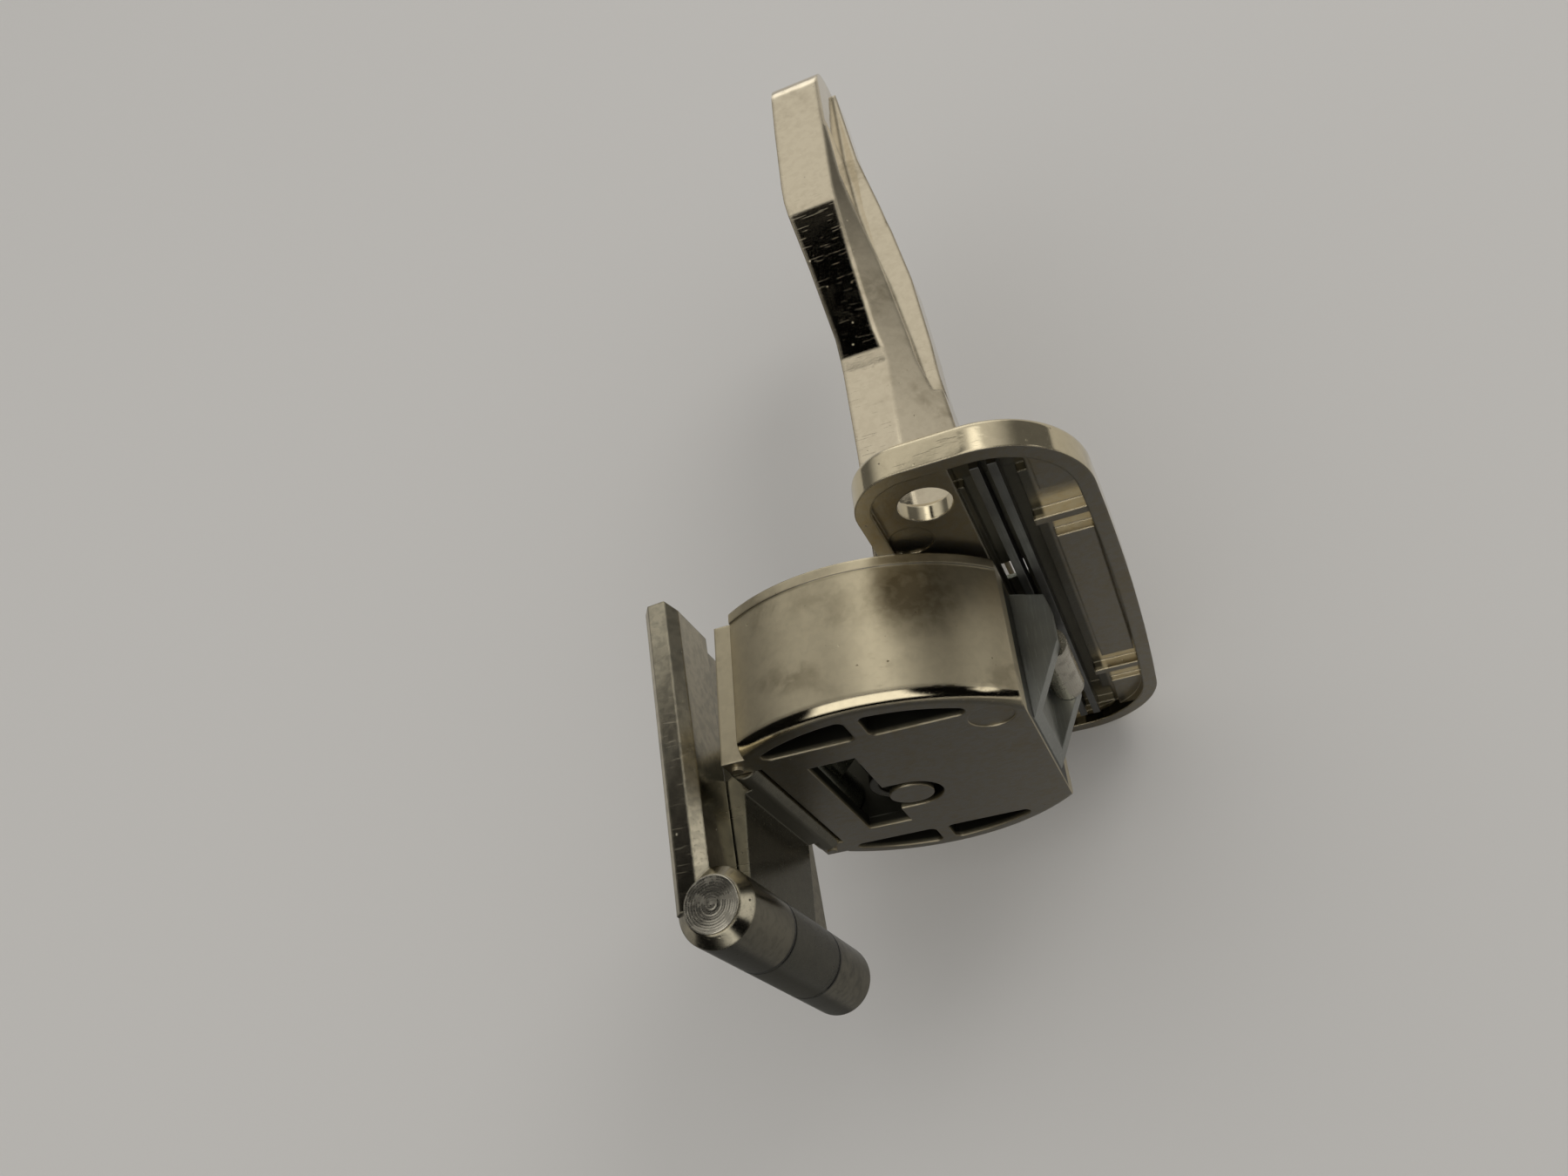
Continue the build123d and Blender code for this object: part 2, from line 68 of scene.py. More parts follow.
# %% [markdown]
# The photograph was taken by hand from above, with the camera rolled a little. A camera was fitted
# to the cup's circles, the flange and the arm's edges. Its right, up and back directions are the
# three columns of a rotation, which is surer than turning an empty until it looks right.

# %% Camera
CAMERA_PLACE_MM = (23.954, -52.485, 95.938)
CAMERA_RIGHT = (0.92420933, -0.07690753, -0.37406195)
CAMERA_UP = (0.25891869, 0.84619477, 0.4657419)
CAMERA_BACK = (0.2807102, -0.52729464, 0.8019739)
SENSOR_MM = 36.0
LENS_MM = 27.264
NEAREST_MM = 5.0
FARTHEST_MM = 20000.0

lens = bpy.data.cameras.new("hand_camera")
lens.sensor_fit = "HORIZONTAL"
lens.sensor_width = SENSOR_MM
lens.lens = LENS_MM
lens.clip_start = NEAREST_MM * MM
lens.clip_end = FARTHEST_MM * MM
camera = bpy.data.objects.new("hand_camera", lens)
bpy.context.scene.collection.objects.link(camera)
turn = Matrix((CAMERA_RIGHT, CAMERA_UP, CAMERA_BACK)).transposed().to_4x4()
camera.matrix_world = Matrix.Translation(Vector(CAMERA_PLACE_MM) * MM) @ turn
bpy.context.scene.camera = camera
print("camera looks along", [round(-c, 3) for c in CAMERA_BACK])

# %% [markdown]
# A shader is a small sum. Written as nodes one by one it is hard to read, so a Value wraps a
# socket and lets plain signs do the adding: each sign makes one Math node. Everything else comes
# from one method, which sets a node's settings first and then its sockets.


# %% Nodes as sums
class Value:
    """A node socket that can be added, subtracted, multiplied and divided like a number."""

    def __init__(self, maker, socket):
        self.maker = maker
        self.socket = socket

    def sign(self, operation, first, second):
        settings = {"operation": operation}
        return self.maker.value("ShaderNodeMath", settings, {0: first, 1: second})

    def __add__(self, other):
        return self.sign("ADD", self, other)

    def __radd__(self, other):
        return self.sign("ADD", other, self)

    def __sub__(self, other):
        return self.sign("SUBTRACT", self, other)

    def __rsub__(self, other):
        return self.sign("SUBTRACT", other, self)

    def __mul__(self, other):
        return self.sign("MULTIPLY", self, other)

    def __rmul__(self, other):
        return self.sign("MULTIPLY", other, self)

    def __truediv__(self, other):
        return self.sign("DIVIDE", self, other)

    def __rtruediv__(self, other):
        return self.sign("DIVIDE", other, self)

    def step(self, start, end):
        """Goes smoothly from 0 at start to 1 at end; start may be the larger."""
        low_end, high_end = min(start, end), max(start, end)
        to_low, to_high = (0.0, 1.0) if start < end else (1.0, 0.0)
        settings = {"interpolation_type": "SMOOTHSTEP"}
        sockets = {"Value": self, "From Min": low_end, "From Max": high_end,
                   "To Min": to_low, "To Max": to_high}
        return self.maker.value("ShaderNodeMapRange", settings, sockets)


class Maker:
    """Adds nodes to one tree."""

    def __init__(self, tree):
        self.tree = tree

    def node(self, kind, settings=None, sockets=None):
        """A node of a kind: its settings are set first, then its sockets by name or number."""
        made = self.tree.nodes.new(kind)
        for name, setting in (settings or {}).items():
            setattr(made, name, setting)
        for name, given in (sockets or {}).items():
            socket = made.inputs[name]
            if isinstance(given, Value):
                given = given.socket
            if isinstance(given, bpy.types.NodeSocket):
                self.tree.links.new(given, socket)
            else:
                socket.default_value = given
        return made

    def value(self, kind, settings=None, sockets=None, output=0):
        return Value(self, self.node(kind, settings, sockets).outputs[output])

    def vector(self, operation, first, second=None, output=0):
        """Vector Math on one or two vectors."""
        sockets = {0: first} if second is None else {0: first, 1: second}
        return self.value("ShaderNodeVectorMath", {"operation": operation}, sockets, output)

    def blend(self, first, second, mask):
        """The first colour where the mask is 0, the second where it is 1."""
        settings = {"data_type": "RGBA"}
        return self.node("ShaderNodeMix", settings, {0: mask, 6: first, 7: second}).outputs[2]


print("operators ready")

# %% [markdown]
# Every finish here is metal, and differs only in tint and in what has happened to it. The place
# on the hinge is read from Object coordinates, in millimetres, so that a noise scale of 1 makes
# marks about a millimetre wide, and the marks stay on a piece when it swings. A Bevel node rounds
# the edges in the shading alone, so the sizes of the solids stay as they are.

# %% What all the metals share
BEVEL_SAMPLES = 4


class Metal(Maker):
    """One metal finish: its place in millimetres, and a shader to feed."""

    def __init__(self, name):
        self.material = bpy.data.materials.new(name)
        self.material.use_nodes = True
        super().__init__(self.material.node_tree)
        self.shader = self.tree.nodes["Principled BSDF"]
        self.shader.inputs["Metallic"].default_value = 1.0
        coordinates = self.node("ShaderNodeTexCoord").outputs
        self.place = self.stretched(coordinates["Object"], (1 / MM, 1 / MM, 1 / MM))
        facing = self.node("ShaderNodeSeparateXYZ", None, {0: coordinates["Normal"]}).outputs
        self.facing_y = Value(self, facing[1])
        across = self.node("ShaderNodeSeparateXYZ", None, {0: self.place}).outputs
        self.x, self.y, z = (Value(self, out) for out in across)
        self.from_middle = self.value("ShaderNodeMath", {"operation": "ABSOLUTE"}, {0: z})

    def stretched(self, place, scale, turn=(0.0, 0.0, 0.0)):
        """A place with each axis multiplied: a pattern on it is drawn out along the smaller."""
        sockets = {"Vector": place, "Scale": scale, "Rotation": turn}
        return self.value("ShaderNodeMapping", None, sockets)

    def noise(self, scale, detail=2.0, place=None, distortion=0.0):
        sockets = {"Vector": place or self.place, "Scale": scale,
                   "Detail": detail, "Distortion": distortion}
        return self.value("ShaderNodeTexNoise", None, sockets)

    def specks(self, scale):
        """The distance to the nearest of many scattered points."""
        return self.value("ShaderNodeTexVoronoi", None, {"Vector": self.place, "Scale": scale})

    def distance(self, centre, axes=(1.0, 1.0, 1.0)):
        """The distance in mm from a centre, counting only the axes given as 1."""
        offset = self.vector("SUBTRACT", self.place, centre)
        return self.vector("LENGTH", self.vector("MULTIPLY", offset, axes), output="Value")

    def finish(self, base, roughness, height_mm, edge_mm):
        """Feeds the shader; the height is in millimetres and edges are rounded by edge_mm."""
        settings = {"samples": BEVEL_SAMPLES}
        rounded = self.node("ShaderNodeBevel", settings, {"Radius": edge_mm * MM})
        sockets = {"Height": height_mm, "Distance": MM, "Normal": rounded.outputs[0]}
        bump = self.node("ShaderNodeBump", None, sockets)
        self.tree.links.new(bump.outputs[0], self.shader.inputs["Normal"])
        self.tree.links.new(base, self.shader.inputs["Base Color"])
        self.tree.links.new(roughness.socket, self.shader.inputs["Roughness"])
        return self.material


print("metal maker ready")

# %% [markdown]
# The castings are zinc with a bright nickel plate. Polishing left long soft waves, and use left
# cloudy stains, pits in patches and fine scratches that run one way. Each of these is a noise, and
# a step turns a noise into a mark: 0 where the plate is clean, 1 where the mark is full. They could
# be painted by hand, but a noise covers every face and needs no unwrapping.

# %% Marks on the plate
WAVE_SCALE = 0.28
SKIN_SCALE = 3.2
CLOUD_SCALE = 0.13
SMEAR_SCALE = 0.55
FINE_SCALE = 1.3
STAIN_CLOUD_EDGE = (0.48, 0.70)
STAIN_SMEAR_EDGE = (0.35, 0.62)
HAIR_SCALE = 1.6
HAIR_STRETCH = (0.25, 3.0, 5.0)
HAIR_TURN = (0.3, 0.2, 0.5)
HAIR_EDGE = (0.63, 0.70)
PIT_SCALE = 0.9
PIT_EDGE = (0.10, 0.03)
PIT_PATCH_SCALE = 0.4
PIT_PATCH_EDGE = (0.5, 0.62)


def plate_marks(metal):
    smear = metal.noise(SMEAR_SCALE, 5.0, distortion=0.4)
    cloud = metal.noise(CLOUD_SCALE, 4.0, distortion=0.6)
    drawn = metal.stretched(metal.place, HAIR_STRETCH, HAIR_TURN)
    patches = metal.noise(PIT_PATCH_SCALE).step(*PIT_PATCH_EDGE)
    return SimpleNamespace(
        waves=metal.noise(WAVE_SCALE, 1.5),
        skin=metal.noise(SKIN_SCALE, 3.0),
        smear=smear,
        fine=metal.noise(FINE_SCALE, 5.0, distortion=0.3),
        hair=metal.noise(HAIR_SCALE, 2.0, drawn).step(*HAIR_EDGE),
        pits=metal.specks(PIT_SCALE).step(*PIT_EDGE) * patches,
        stain=cloud.step(*STAIN_CLOUD_EDGE) * smear.step(*STAIN_SMEAR_EDGE),
    )


print("marks ready")

# %% [markdown]
# Some places look different because of where they are. The faces that look into the door get the
# grainy cast skin, darker and rougher: partly the unpolished plate, partly painted shade on that
# side. Below the face of the door the cup's round side is rubbed dull, with a darker spot that is a
# painted reflection. The inside of the cup and the trough for the springs are painted dark as
# shade, and so are the two joints of the knuckle, over a thinner darker tone on the whole knuckle.
# Each zone is a product of steps on the place or the facing, so it can be read as a box with soft
# walls.

# %% Zones of the hinge
RAW_AND_SHADED_FACING_Y = (-0.86, -0.97)
BORED_Y_MM = (0.3, -0.3)
BORED_FACING_Y = (-0.35, -0.1)
REFLECTION_SPOT_MM = (6.5, -3.5, 15.5)
REFLECTION_REACH_MM = (7.0, 1.5)
REFLECTION_WANDER_MM = 3.0
TROUGH_NEAR_X_MM = (12.5, 12.7)
TROUGH_FAR_X_MM = (18.2, 17.9)
TROUGH_END_Z_MM = (24.5, 24.2)
TROUGH_MOUTH_Y_MM = (0.72, 0.9)
TROUGH_ROOF_Y_MM = (2.87, 2.80)
INSIDE_BOTTOM_Y_MM = (-12.95, -12.4)
INSIDE_TOP_Y_MM = (1.0, -1.5)
INSIDE_R_MM = (15.8, 15.6)
KNUCKLE_AXIS_MM = (-12.6, -24.9)
KNUCKLE_REACH_MM = (3.7, 3.4)
JOINT_START_MM = (4.85, 5.15)
JOINT_END_MM = (5.80, 5.45)
THIN_KNUCKLE_TONE = 0.3


def rubbed_side(metal):
    """The cup's round side below the face of the door."""
    return metal.y.step(*BORED_Y_MM) * metal.facing_y.step(*BORED_FACING_Y)


def painted_reflection(metal, marks):
    """A painted reflection: a dark round spot on the rubbed side whose edge wanders with the
    smears.
    """
    away = metal.distance(REFLECTION_SPOT_MM) + marks.smear * REFLECTION_WANDER_MM
    return away.step(*REFLECTION_REACH_MM) * (0.6 + marks.fine)


# The trough under the flange, where the colour is darkened as painted shade.
def spring_trough(metal):
    across = metal.x.step(*TROUGH_NEAR_X_MM) * metal.x.step(*TROUGH_FAR_X_MM)
    along = metal.from_middle.step(*TROUGH_END_Z_MM)
    return across * along * metal.y.step(*TROUGH_MOUTH_Y_MM) * metal.y.step(*TROUGH_ROOF_Y_MM)


# The inside of the cup, where the colour is darkened as painted shade.
def inside_cup(metal):
    reach = metal.distance((0.0, 0.0, 0.0), (1.0, 0.0, 1.0))
    depth = metal.y.step(*INSIDE_BOTTOM_Y_MM) * metal.y.step(*INSIDE_TOP_Y_MM)
    return depth * reach.step(*INSIDE_R_MM)


def knuckle_tone_and_joint_shade(metal):
    """A thin darker tone all over the knuckles, and painted shade, much darker, in the two joints
    between them.
    """
    near = metal.distance((*KNUCKLE_AXIS_MM, 0.0), (1.0, 1.0, 0.0)).step(*KNUCKLE_REACH_MM)
    joint = metal.from_middle.step(*JOINT_START_MM) * metal.from_middle.step(*JOINT_END_MM)
    return near * (THIN_KNUCKLE_TONE + joint * (1.0 - THIN_KNUCKLE_TONE))


print("zones ready")

# %% [markdown]
# Now the marks and zones are put together. The colour goes from clean plate to dull by a sum of
# marks, each with its own share. Roughness and height are sums too: the heights are real ones in
# millimetres, a hundredth for the waves and four hundredths for a pit, because a mirror shows the
# least dent. The cup and the knuckles ask for their own zones; the other castings leave them out.

# %% Plated casting
DARK_TONE_AND_SHADE = (0.06, 0.058, 0.045)
STAIN_SHARE = 0.5
PIT_SHARE = 0.5
REFLECTION_SHARE = 3.0
WORN_EDGE = (0.42, 0.62)
GRAIN_EDGE = (0.4, 0.6)
TROUGH_SHADE_SHARE = 0.8
RAW_ROUGH = 0.25
STAIN_ROUGH = 0.05
SKIN_ROUGH = 0.015
HAIR_ROUGH = 0.08
PIT_ROUGH = 0.3
WAVE_MM = 0.015
POLISHED_SKIN_MM = 0.001
RAW_SKIN_MM = 0.014
SMEAR_MM = 0.002
PIT_MM = 0.04
HAIR_MM = 0.0012


def plated_casting(name, clean, dull, mould_and_shade, gloss, worn=0.08, edge_mm=0.25,
                   cup_rub=0.0, jointed=False):
    """Nickel plate from three colours; gloss is the roughness of the cleanest spot."""
    metal = Metal(name)
    marks = plate_marks(metal)
    # Faces looking along -Y get the darker cast-skin colour: partly the unpolished plate, partly
    # painted shade on that side.
    raw_and_shaded = metal.facing_y.step(*RAW_AND_SHADED_FACING_Y)
    wear_and_reflection = marks.stain * STAIN_SHARE + marks.pits * PIT_SHARE
    wear_and_reflection = wear_and_reflection + marks.fine.step(*WORN_EDGE) * worn
    roughness = gloss + raw_and_shaded * RAW_ROUGH + marks.stain * STAIN_ROUGH + marks.skin * SKIN_ROUGH
    roughness = roughness + marks.hair * HAIR_ROUGH + marks.pits * PIT_ROUGH
    if cup_rub:
        rub = rubbed_side(metal) * cup_rub
        # Painted reflection: a dark spot on the cup's round side.
        wear_and_reflection = wear_and_reflection + painted_reflection(metal, marks) * rub * REFLECTION_SHARE
        roughness = roughness + rub
    grain = marks.skin * 0.3 + marks.stain * 0.4 + marks.fine.step(*GRAIN_EDGE) * 0.3
    polished = metal.blend((*clean, 1.0), (*dull, 1.0), wear_and_reflection)
    grainy = metal.blend((*mould_and_shade, 1.0), (*dull, 1.0), grain)
    base = metal.blend(polished, grainy, raw_and_shaded)
    # Painted shade: the inside of the cup and the spring trough are made dark.
    if cup_rub:
        cup_shade = inside_cup(metal) + spring_trough(metal) * TROUGH_SHADE_SHARE
        base = metal.blend(base, (*DARK_TONE_AND_SHADE, 1.0), cup_shade)
    # A darker tone over the knuckles, and painted shade in their joints.
    if jointed:
        base = metal.blend(base, (*DARK_TONE_AND_SHADE, 1.0), knuckle_tone_and_joint_shade(metal))
    height = marks.waves * WAVE_MM + marks.skin * (POLISHED_SKIN_MM + raw_and_shaded * RAW_SKIN_MM)
    height = height + marks.smear * SMEAR_MM - marks.pits * PIT_MM - marks.hair * HAIR_MM
    return metal.finish(base, roughness, height, edge_mm)


print("casting finish ready")

# %% [markdown]
# One recipe gives every casting. The arm is the cleanest and has the roundest edges, and the cup is
# a little yellower. The leaf and the wide plate have been handled most: their plate is rubbed to a
# dark satin, so they have darker colours and less gloss. The links and the trough's roof are darker
# still, with less gloss: that is painted shade.

# %% The castings' finishes
CLEAN_NICKEL = (0.68, 0.60, 0.445)
CUP_NICKEL = (0.66, 0.58, 0.405)
DULL_NICKEL = (0.26, 0.215, 0.135)
MOULD_AND_SHADE_GREY = (0.27, 0.255, 0.22)
WORN_NICKEL = (0.48, 0.435, 0.325)
LEAF_NICKEL = (0.25, 0.235, 0.18)
SHADED_NICKEL = (0.16, 0.17, 0.14)
RUBBED_AND_SHADE_GREY = (0.17, 0.16, 0.125)

plated = plated_casting("plated_casting", CLEAN_NICKEL, DULL_NICKEL, MOULD_AND_SHADE_GREY, 0.055,
                        edge_mm=0.6)
cup_plated = plated_casting("cup_casting", CUP_NICKEL, DULL_NICKEL, MOULD_AND_SHADE_GREY, 0.075,
                            cup_rub=0.32)
worn_plated = plated_casting("worn_casting", WORN_NICKEL, RUBBED_AND_SHADE_GREY, RUBBED_AND_SHADE_GREY, 0.15,
                             worn=0.3, jointed=True)
dark_plated = plated_casting("dark_casting", LEAF_NICKEL, RUBBED_AND_SHADE_GREY, RUBBED_AND_SHADE_GREY, 0.22,
                             worn=0.3, jointed=True)
shaded_plated = plated_casting("shaded_casting", SHADED_NICKEL, RUBBED_AND_SHADE_GREY, RUBBED_AND_SHADE_GREY, 0.25)
for casting in (plated, cup_plated, worn_plated, dark_plated, shaded_plated):
    print(casting.name, len(casting.node_tree.nodes), "nodes")

# %% [markdown]
# The saddle beside the cup is bare pressed steel: darker, dull, and covered in fine handling
# scratches at every angle, so three drawn-out noises cross each other.

# %% Bare steel
STEEL_LIGHT = (0.52, 0.53, 0.49)
STEEL_DARK = (0.29, 0.295, 0.27)
SCRATCH_ANGLES = (0.4, 1.5, 2.6)
SCRATCH_TILT = 0.3
SCRATCH_STRETCH = (4.0, 0.25, 4.0)
SCRATCH_EDGE = (0.60, 0.68)


def bare_steel(name, light, dark):
    metal = Metal(name)
    patches = metal.noise(0.5, 4.0)
    scratches = 0.0
    for angle in SCRATCH_ANGLES:
        drawn = metal.stretched(metal.place, SCRATCH_STRETCH, (0.0, SCRATCH_TILT, angle))
        scratches = metal.noise(1.4, 3.0, drawn).step(*SCRATCH_EDGE) + scratches
    mask = scratches * 0.22 + patches * 0.4
    base = metal.blend((*dark, 1.0), (*light, 1.0), mask)
    roughness = 0.34 + patches * 0.12 - scratches * 0.04
    height = patches * 0.02 - scratches * 0.003
    return metal.finish(base, roughness, height, 0.15)


steel = bare_steel("bare_steel", STEEL_LIGHT, STEEL_DARK)
print("bare steel", len(steel.node_tree.nodes), "nodes")

# %% [markdown]
# The closing strips are rolled spring steel, so their grain runs along their length, which is Z.

# %% Spring steel
STRIP_LIGHT = (0.21, 0.21, 0.20)
STRIP_DARK = (0.10, 0.10, 0.095)
GRAIN_STRETCH = (4.0, 4.0, 0.12)


def spring_steel(name, light, dark):
    metal = Metal(name)
    grain = metal.noise(2.0, 3.0, metal.stretched(metal.place, GRAIN_STRETCH))
    oil = metal.noise(0.3, 3.0).step(0.4, 0.7)
    base = metal.blend((*light, 1.0), (*dark, 1.0), grain * 0.5 + oil * 0.4)
    return metal.finish(base, 0.24 + grain * 0.18 + oil * 0.1, grain * 0.008, 0.1)


spring = spring_steel("spring_steel", STRIP_LIGHT, STRIP_DARK)
print("spring steel", len(spring.node_tree.nodes), "nodes")

# %% [markdown]
# The pins are turned steel, and the knuckle pin was spun over at its ends, which leaves rings round
# its axis. Their height is a wave of the distance from that axis, so they are right on both ends
# and need no unwrapping.

# %% Pin steel
PIN_LIGHT = (0.62, 0.58, 0.48)
PIN_DARK = (0.26, 0.24, 0.20)
RING_PITCH_MM = 0.22
RING_WANDER_MM = 0.08


def spun_pin(name, light, dark):
    metal = Metal(name)
    distance = metal.distance((*KNUCKLE_AXIS_MM, 0.0), (1.0, 1.0, 0.0))
    wobble = metal.noise(0.8, 2.0)
    turns = (distance + wobble * RING_WANDER_MM) * (2 * np.pi / RING_PITCH_MM)
    rings = metal.value("ShaderNodeMath", {"operation": "SINE"}, {0: turns}) * 0.5 + 0.5
    grime = metal.noise(1.2, 4.0).step(0.45, 0.7)
    base = metal.blend((*light, 1.0), (*dark, 1.0), rings * 0.12 + grime * 0.4)
    roughness = 0.2 + rings * 0.05 + grime * 0.15
    return metal.finish(base, roughness, rings * 0.003 + wobble * 0.02, 0.1)


pin = spun_pin("pin_steel", PIN_LIGHT, PIN_DARK)
print("pin", len(pin.node_tree.nodes), "nodes")

# %% [markdown]
# Each solid keeps its mesh and only gets its finish. The record already says which finish each
# one has, so the list is read from there; a few castings get their own variant of it.

# %% Dress the solids
finishes = {"plated_casting": plated, "bare_steel": steel, "spring_steel": spring, "pin_steel": pin}
own_finish = {
    "cup_and_flange": cup_plated, "leaf": dark_plated, "edge_plate": worn_plated,
    # The links' dark finish is painted shade inside the cup.
    "front_link_near": shaded_plated, "front_link_far": shaded_plated, "edge_link": shaded_plated,
}
for part in frame["record"]["subparts"]:
    name = part["node"]
    solid = frame["nodes"][name]
    solid.data.materials.clear()
    solid.data.materials.append(own_finish.get(name, finishes[part["material_slot"]]))

# %% [markdown]
# A few forms are finer than the solids. Each is worked out as arrays of points and faces, and one
# helper makes an object of them: it sits at the origin, rides on a body of the hinge so that it
# swings with it, and says which material slot it belongs to.


# %% Adding a piece
def add_piece(name, meshes, body, material):
    """One object at the origin from several closed meshes, riding on a body of the hinge."""
    points, faces, start = [], [], 0
    for mesh_points, mesh_faces in meshes:
        points.append(mesh_points)
        faces += [[index + start for index in face] for face in mesh_faces]
        start += len(mesh_points)
    mesh = bpy.data.meshes.new(name)
    mesh.from_pydata(np.concatenate(points).tolist(), [], faces)
    mesh.update()
    mesh.materials.append(material)
    piece = bpy.data.objects.new(name, mesh)
    bpy.context.scene.collection.objects.link(piece)
    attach(piece, body)
    return piece


print("helper ready")

# %% [markdown]
# The knuckle pin was spun over at both ends: a rolling tool spread it into a shallow dished button
# with fine rings at its middle. The solid has the pin and a plain dished end, and this piece takes
# its place with the rings cut in. It is a turned shape: one profile of radius and height, turned
# round the knuckle's axis. A lathe of a drawn curve would do as well, but a formula keeps the rings
# even.

# %% Profile of the spun pin
SHAFT_R_MM = 1.6
BUTTON_R_MM = 2.3
BUTTON_TOP_MM = 14.86
BUTTON_EDGE_MM = 14.3
BUTTON_DISH_MM = 0.16
BUTTON_ROUND_MM = 0.1
RING_DEPTH_MM = 0.008
RING_STEP_MM = 0.50
RING_REACH_MM = 1.1
HUB_R_MM = 0.02
PROFILE_POINTS = 60
ROUND_ANGLES = np.linspace(0.2, np.pi / 2, 6)


def spun_pin_profile():
    """Radius and height from one end's middle, out and down to the shaft, to the other end.

    On the button the height grows with the square of the radius, plus a cosine for the rings
    that fades away from the middle as a bell curve. The edge is a quarter circle.
    """
    flat_r = BUTTON_R_MM - BUTTON_ROUND_MM
    radius = np.linspace(HUB_R_MM, flat_r, PROFILE_POINTS)
    fade = np.exp(-((radius / RING_REACH_MM) ** 2))
    rings = RING_DEPTH_MM * np.cos(radius * 2 * np.pi / RING_STEP_MM) * fade
    height = BUTTON_TOP_MM - BUTTON_DISH_MM * (1 - (radius / BUTTON_R_MM) ** 2) + rings
    round_r = flat_r + BUTTON_ROUND_MM * np.sin(ROUND_ANGLES)
    round_height = height[-1] - BUTTON_ROUND_MM * (1 - np.cos(ROUND_ANGLES))
    half_r = np.concatenate([radius, round_r, [BUTTON_R_MM, SHAFT_R_MM]])
    half_height = np.concatenate([height, round_height, [BUTTON_EDGE_MM, BUTTON_EDGE_MM]])
    return np.concatenate([half_r, half_r[::-1]]), np.concatenate([half_height, -half_height[::-1]])


print("profile", len(spun_pin_profile()[0]), "points")

# %% [markdown]
# The profile is turned by outer products: each radius times the cosine and sine of each angle. The
# faces join each ring of points with the next one, and a small flat face closes each end.

# %% Pin with spun ends
TURN_POINTS = 72


def turned_mesh(radius, height):
    """Points at every radius and angle: x and y from the angle, z from the profile."""
    angle = np.arange(TURN_POINTS) * 2 * np.pi / TURN_POINTS
    x = KNUCKLE_AXIS_MM[0] + np.outer(radius, np.cos(angle))
    y = KNUCKLE_AXIS_MM[1] + np.outer(radius, np.sin(angle))
    z = np.repeat(height[:, None], TURN_POINTS, axis=1)
    points = np.stack([x, y, z], axis=2).reshape(-1, 3) * MM
    rows = np.arange(len(radius) - 1)[:, None] * TURN_POINTS
    here = np.arange(TURN_POINTS)[None, :]
    after = (here + 1) % TURN_POINTS
    below = rows + TURN_POINTS
    quads = np.stack([rows + here, below + here, below + after, rows + after], axis=2)
    last = len(points) - TURN_POINTS
    caps = [list(range(TURN_POINTS)), list(range(last, len(points)))[::-1]]
    return points, quads.reshape(-1, 4).tolist() + caps


spun = add_piece("spun_knuckle_pin", [turned_mesh(*spun_pin_profile())], "plate", pin)
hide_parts("knuckle_pin")
print("spun pin", len(spun.data.polygons), "faces")

# %% [markdown]
# The springs lie in a trough under the flange, and the trough has a thin roof with two small slots
# beside the saddle. A roof is a shallow arch: across it the underside rises by a cosine, and along
# it nothing changes. Each arch is worked out as one ring of points, carried along and closed with a
# flat top, so that no light comes through beside the springs.

# %% Roof of the spring trough
TROUGH_EDGE_MM = (13.0, 17.3)
SLOT_EDGE_MM = 14.9
SLOT_Z_MM = (4.0, 6.7)
TROUGH_END_MM = 20.7
ARCH_FOOT_MM = 2.45
ARCH_RISE_MM = 0.1
ROOF_TOP_MM = 2.86
ROOF_STEPS = 12


def roof_mesh(x_low, x_high, z_low, z_high):
    """A ring of points round the arch's section at each end: underside y is the cosine."""
    share = np.linspace(-1.0, 1.0, ROOF_STEPS)
    middle, half = (x_low + x_high) / 2, (x_high - x_low) / 2
    under_y = ARCH_FOOT_MM + ARCH_RISE_MM * np.cos(share * np.pi / 2)
    under = np.stack([middle + half * share, under_y], axis=1)
    above = np.array([[x_high, ROOF_TOP_MM], [x_low, ROOF_TOP_MM]])
    ring = np.concatenate([under, above])
    count = len(ring)
    ends_z = np.repeat([z_low, z_high], count)
    points = np.column_stack([np.tile(ring, (2, 1)), ends_z]) * MM
    here = np.arange(count)
    after = (here + 1) % count
    sides = np.column_stack([here, after, after + count, here + count]).tolist()
    ends = [here[::-1].tolist(), (here + count).tolist()]
    return points, sides + ends


edge_side, middle_side = TROUGH_EDGE_MM
slot_near, slot_far = SLOT_Z_MM
roofs = [
    roof_mesh(SLOT_EDGE_MM, middle_side, -TROUGH_END_MM, TROUGH_END_MM),
    roof_mesh(edge_side, SLOT_EDGE_MM, slot_far, TROUGH_END_MM),
    roof_mesh(edge_side, SLOT_EDGE_MM, -TROUGH_END_MM, -slot_far),
    roof_mesh(edge_side, SLOT_EDGE_MM, -slot_near, slot_near),
]
# The roof takes the same dark finish: painted shade under the flange.
roof = add_piece("spring_trough_roof", roofs, "cup", shaded_plated)
print("trough roof", len(roof.data.polygons), "faces")

# %% [markdown]
# The real hinge lay on pale paper. The floor is one plain sheet at the lowest point of the hinge,
# so its shadow is soft and close. The paper in front of the picture lay in shade, and the metal
# mirrors that: a glossy ray, told apart by Light Path, meets paper that darkens round a place in
# front, while the eye and the light see one plain pale colour.

# %% Floor
FLOOR_HALF_M = 1.5
PAPER = (0.585, 0.575, 0.56, 1.0)
SHADED_PAPER = (0.125, 0.128, 0.132, 1.0)
SHADE_PLACE_MM = (-40.0, -200.0)
SHADE_REACH_MM = (250.0, 130.0)
PAPER_ROUGHNESS = 0.9
PAPER_SPECULAR = 0.1

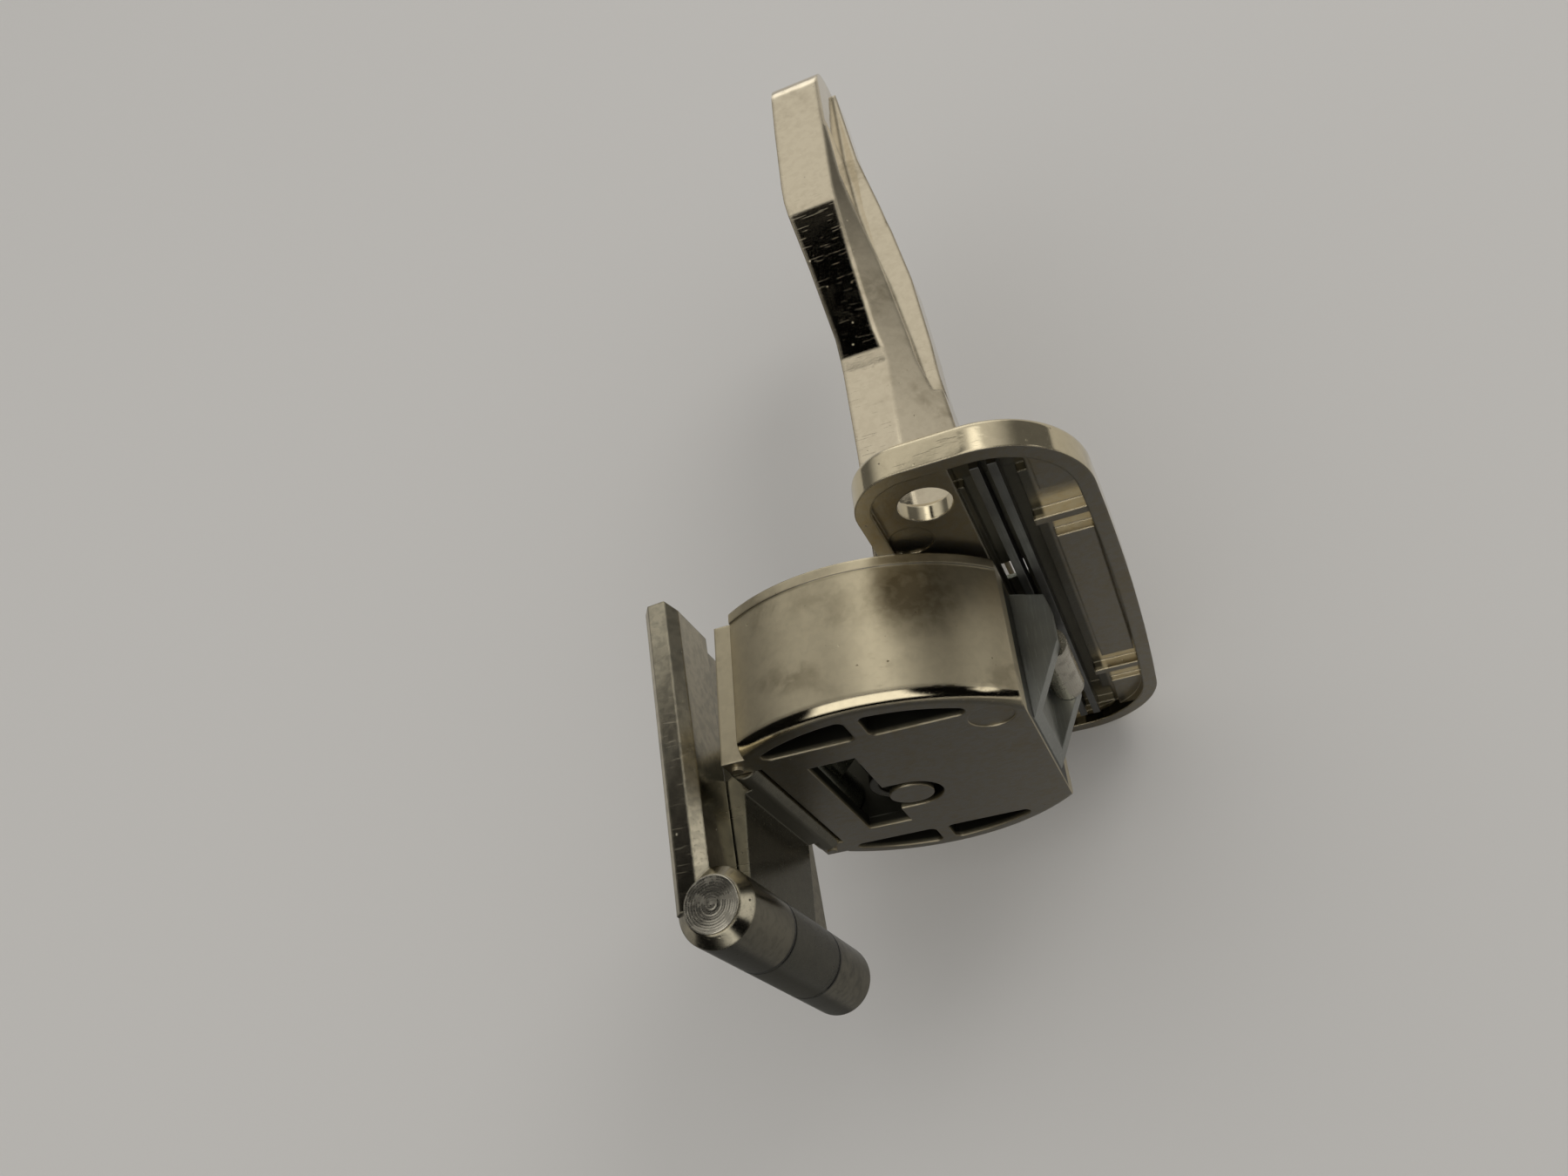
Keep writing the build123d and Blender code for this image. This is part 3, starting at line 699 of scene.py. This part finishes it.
paper = bpy.data.materials.new("pale_paper")
paper.use_nodes = True
painter = Maker(paper.node_tree)
spot = painter.value("ShaderNodeTexCoord", output="Object")
shade_place = (*(Vector(SHADE_PLACE_MM) * MM), low.z)
away = painter.vector("DISTANCE", spot, shade_place, "Value")
mirrored = painter.value("ShaderNodeLightPath", output="Is Glossy Ray")
tone = painter.blend(PAPER, SHADED_PAPER, (away / MM).step(*SHADE_REACH_MM) * mirrored)
paper_shader = paper.node_tree.nodes["Principled BSDF"]
paper.node_tree.links.new(tone, paper_shader.inputs["Base Color"])
paper_shader.inputs["Roughness"].default_value = PAPER_ROUGHNESS
paper_shader.inputs["Specular IOR Level"].default_value = PAPER_SPECULAR

sheet = bpy.data.meshes.new("paper")
corners = [(-1, -1), (1, -1), (1, 1), (-1, 1)]
corner_points = [(x * FLOOR_HALF_M, y * FLOOR_HALF_M, low.z) for x, y in corners]
sheet.from_pydata(corner_points, [], [(0, 1, 2, 3)])
floor = bpy.data.objects.new("paper", sheet)
floor.data.materials.append(paper)
bpy.context.scene.collection.objects.link(floor)
print("floor at", round(low.z / MM, 1), "mm")

# %% [markdown]
# Bare metal shows mostly what it mirrors, so the room matters more than the lamps. For a mirrored
# ray the room is bright beyond the hinge up to the ceiling, and the ceiling and the near side are
# dark. One lamp hangs from the ceiling, and behind the camera is a pale wall, which draws the white
# line along the cup's rounded edge. A window on the right and a bright doorway far off light up the
# narrow chamfers. Each is a product of steps on the ray's direction.

# %% What the metal mirrors
DIM_LEVEL = 0.13
BEYOND_LEVEL = 0.58
BEYOND_WAY = Vector((-0.12, 0.68, 0.70)).normalized()
BEYOND_EDGE = (0.66, 0.96)
BELOW_CEILING = (0.798, 0.786)
PAST_NEAR_SIDE = (0.10, 0.30)
CEILING_LAMP_LEVEL = 1.6
CEILING_LAMP_WAY = Vector((0.12, 0.45, 0.887)).normalized()
CEILING_LAMP_EDGE = (0.972, 0.990)
WALL_LEVEL = 1.35
WALL_BOTTOM = (0.33, 0.41)
WALL_SIDE = (0.0, -0.16)
WALL_LEFT = (-0.56, -0.42)
WALL_RIGHT = (0.42, 0.28)
WINDOW_LEVEL = 1.1
WINDOW_SIDE = (0.77, 0.83)
WINDOW_BOTTOM = (0.28, 0.35)
WINDOW_TOP = (0.56, 0.46)
DOORWAY_SIDE = (0.90, 0.95)
DOORWAY_BOTTOM = (-0.02, 0.03)


def mirrored_room(x, y, z):
    """The brightness that a mirrored ray meets in the direction x, y, z."""

    def along(way):
        return x * way[0] + y * way[1] + z * way[2]

    beyond = along(BEYOND_WAY).step(*BEYOND_EDGE)
    lit = z.step(*BELOW_CEILING) * y.step(*PAST_NEAR_SIDE)
    ceiling_lamp = along(CEILING_LAMP_WAY).step(*CEILING_LAMP_EDGE)
    wall = z.step(*WALL_BOTTOM) * y.step(*WALL_SIDE) * x.step(*WALL_LEFT) * x.step(*WALL_RIGHT)
    window = x.step(*WINDOW_SIDE) * z.step(*WINDOW_BOTTOM) * z.step(*WINDOW_TOP)
    doorway = y.step(*DOORWAY_SIDE) * z.step(*DOORWAY_BOTTOM)
    room = (DIM_LEVEL + beyond * BEYOND_LEVEL) * lit + ceiling_lamp * CEILING_LAMP_LEVEL
    return room + wall * WALL_LEVEL + window * WINDOW_LEVEL + doorway


print("mirrored room ready")

# %% [markdown]
# A diffuse ray meets a plain even level, so the paper and the dull faces are lit evenly, and a soft
# lamp adds a little direction. The lamp isn't mirrored: the metal would show it as a hard disk.

# %% Room and lamp
EVEN_LEVEL = 0.72
ROOM_TINT = (1.0, 0.985, 0.955, 1.0)
LAMP_PLACE_MM = (500, 500, 620)
LAMP_SIZE_MM = 420
LAMP_WATTS = 1.2
LAMP_TINT = (1.0, 0.98, 0.95)

world = bpy.data.worlds.new("room")
world.use_nodes = True
bpy.context.scene.world = world
builder = Maker(world.node_tree)
ray_way = builder.node("ShaderNodeTexCoord").outputs["Generated"]
ray_parts = builder.node("ShaderNodeSeparateXYZ", None, {0: ray_way}).outputs
glossy = builder.value("ShaderNodeLightPath", output="Is Glossy Ray")
room_level = mirrored_room(*(Value(builder, part) for part in ray_parts))
strength = room_level * glossy + (1.0 - glossy) * EVEN_LEVEL
background = builder.tree.nodes["Background"]
background.inputs["Color"].default_value = ROOM_TINT
builder.tree.links.new(strength.socket, background.inputs["Strength"])

light = bpy.data.lights.new("window_light", "AREA")
light.shape = "DISK"
light.size = LAMP_SIZE_MM * MM
light.energy = LAMP_WATTS
light.color = LAMP_TINT
lamp = bpy.data.objects.new("window_light", light)
lamp.location = Vector(LAMP_PLACE_MM) * MM
lamp.rotation_euler = (-lamp.location).to_track_quat("-Z", "Y").to_euler()
lamp.visible_glossy = False
bpy.context.scene.collection.objects.link(lamp)
bpy.context.scene.view_settings.view_transform = "Standard"
print("room and lamp set")
